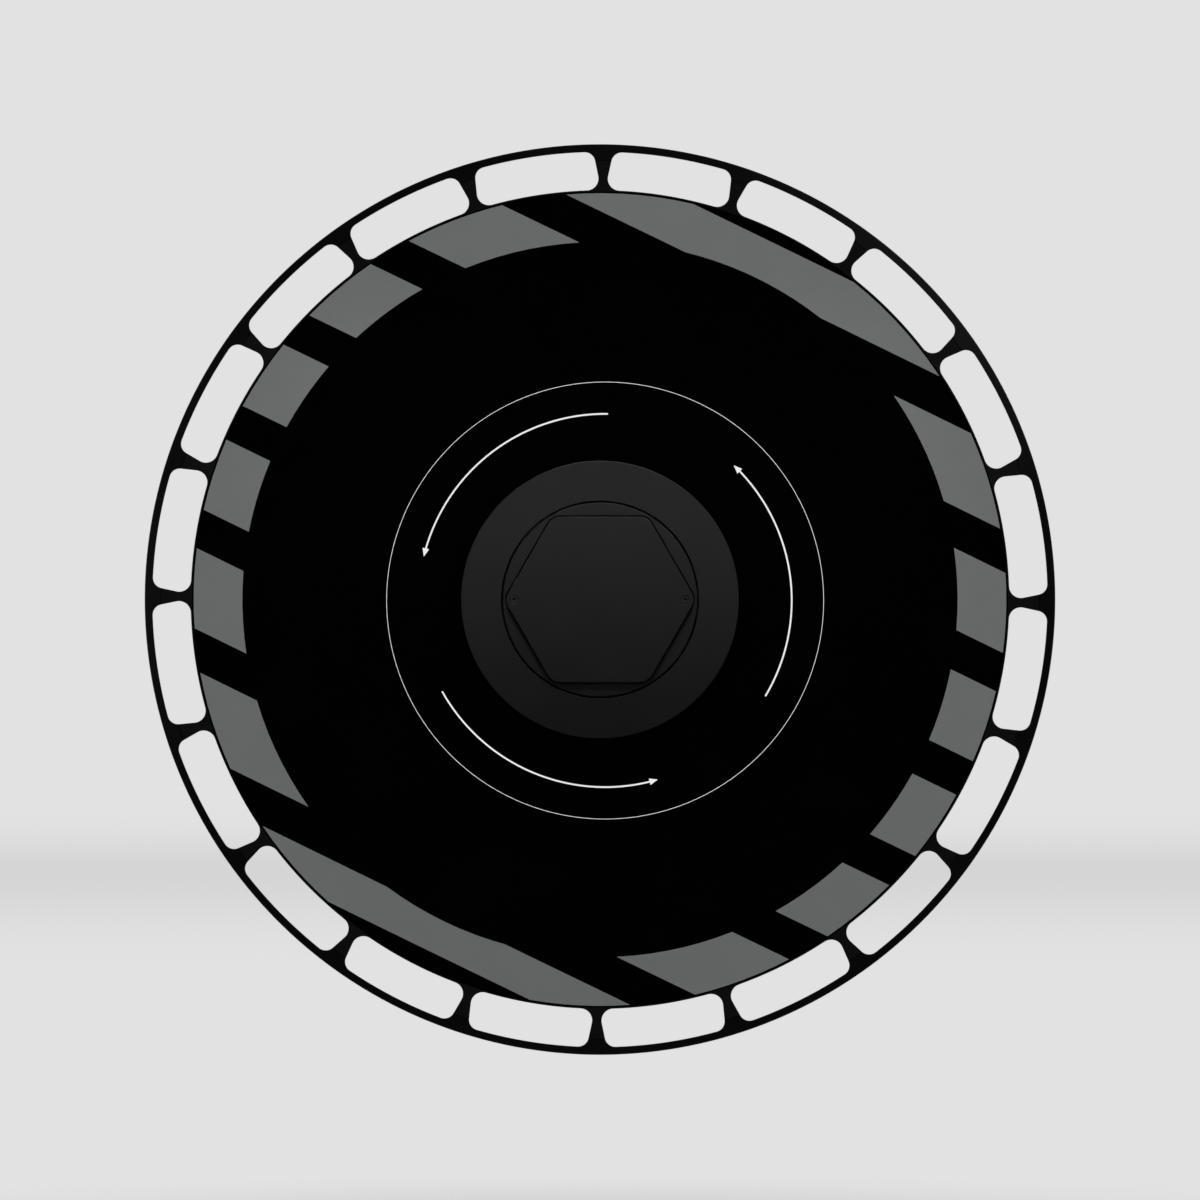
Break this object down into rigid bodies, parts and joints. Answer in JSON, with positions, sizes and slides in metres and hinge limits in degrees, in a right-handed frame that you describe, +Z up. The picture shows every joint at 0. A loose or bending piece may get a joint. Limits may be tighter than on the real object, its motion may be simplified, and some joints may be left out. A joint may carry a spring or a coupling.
{
  "type": "aero wheel cover",
  "caption": "Flat round wheel cover with air slots round its edge and a striped band; its turning hub drives bolts out behind the wheel's centre bore",
  "frame": {"origin": "on the wheel's axis, in the plane of the seat that rests on the wheel's hub face", "axes": "+Y runs along the wheel's axis towards the car, the printed front faces -Y, +Z is up"},
  "size_m": [0.4799, 0.0741, 0.48],
  "materials": {
    "disc_plastic": "moulded black plastic, fine grain",
    "grey_film": "printed grey film, satin",
    "white_film": "printed white film, satin",
    "seal_rubber": "moulded black rubber",
    "hub_metal": "dark anodised, satin",
    "body_metal": "turned and milled, grey anodised",
    "screw_steel": "zinc plated",
    "dark_steel": "blackened",
    "lock_steel": "ground and greased",
    "spring_steel": "spring steel, oiled",
    "bush_bronze": "sintered bronze",
    "washer_nylon": "natural nylon"
  },
  "bodies": {
    "cover": {"aero_disc": "disc_plastic", "stripe_film": "grey_film", "circle_film": "white_film", "arrow_film_1": "white_film", "arrow_film_2": "white_film", "arrow_film_3": "white_film", "edge_seal": "seal_rubber", "hub_plate": "hub_metal", "hub_body": "body_metal", "hub_screws": "screw_steel", "seat_pad": "seal_rubber", "front_bush": "bush_bronze", "rear_bush": "bush_bronze", "thrust_washer": "washer_nylon", "stop_pin": "lock_steel", "rear_cover": "body_metal", "cover_circlip": "spring_steel"},
    "lock": {"lock_disc": "hub_metal", "hex_cap": "hub_metal", "cap_screws": "dark_steel", "shaft_screw": "screw_steel", "drive_shaft": "lock_steel", "cam_plate": "lock_steel", "shaft_circlip": "spring_steel", "dust_ring": "seal_rubber"},
    "bolt_1": {"lock_bolt_1": "lock_steel", "follower_pin_1": "lock_steel"},
    "bolt_2": {"lock_bolt_2": "lock_steel", "follower_pin_2": "lock_steel"},
    "bolt_3": {"lock_bolt_3": "lock_steel", "follower_pin_3": "lock_steel"}
  },
  "joints": [
    {"name": "hub_turn", "type": "hinge", "parent": "cover", "child": "lock", "pos_m": [0, 0, 0], "axis": [0, 1, 0], "range_deg": [0, 60]},
    {"name": "bolt_1_slide", "type": "slide", "parent": "cover", "child": "bolt_1", "axis": [0, 0, 1], "range_m": [0, 0.00401]},
    {"name": "bolt_2_slide", "type": "slide", "parent": "cover", "child": "bolt_2", "axis": [-0.866, 0, -0.5], "range_m": [0, 0.00401]},
    {"name": "bolt_3_slide", "type": "slide", "parent": "cover", "child": "bolt_3", "axis": [0.866, 0, -0.5], "range_m": [0, 0.00401]}
  ],
  "couplings": [
    {"joint": "bolt_1_slide", "follows": "hub_turn", "m_per_rad": 0.0038197},
    {"joint": "bolt_2_slide", "follows": "hub_turn", "m_per_rad": 0.0038197},
    {"joint": "bolt_3_slide", "follows": "hub_turn", "m_per_rad": 0.0038197}
  ]
}
